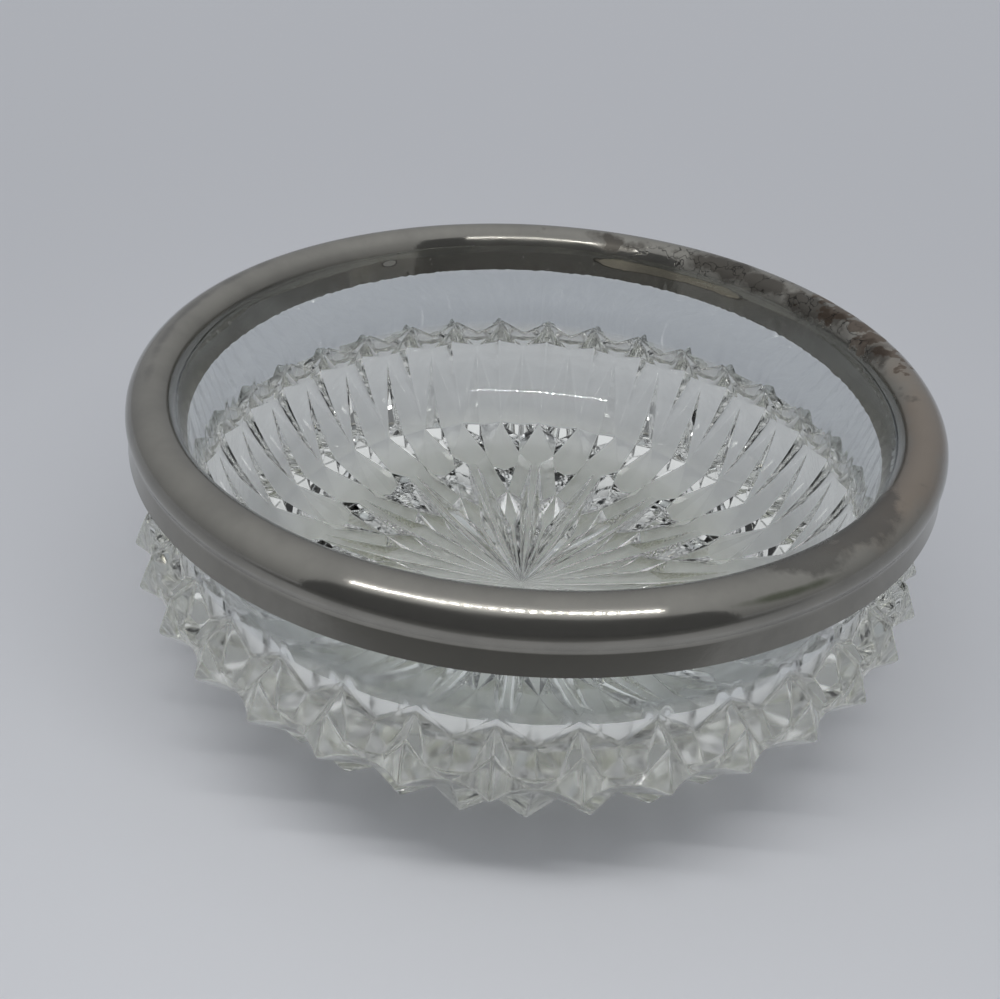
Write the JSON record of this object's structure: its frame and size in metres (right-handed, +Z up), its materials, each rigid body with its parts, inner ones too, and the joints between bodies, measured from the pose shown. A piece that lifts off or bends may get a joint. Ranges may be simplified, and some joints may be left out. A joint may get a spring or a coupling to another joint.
{
  "type": "candy dish",
  "caption": "Round pressed-glass candy dish with a toothed shoulder, a cut star pattern underneath and a plated metal band over its lip.",
  "frame": {"origin": "middle of the foot, on the surface that the dish stands on", "axes": "+Z up along the dish's axis; one tooth of the shoulder points along +X"},
  "size_m": [0.1572, 0.1572, 0.0613],
  "materials": {
    "clear_glass": "clear pressed glass with a faint grey-green tint",
    "plated_metal": "silver plate, tarnished and worn to a brownish grey"
  },
  "bodies": {
    "root": {"glass_bowl": "clear_glass", "metal_rim": "plated_metal"}
  },
  "joints": []
}
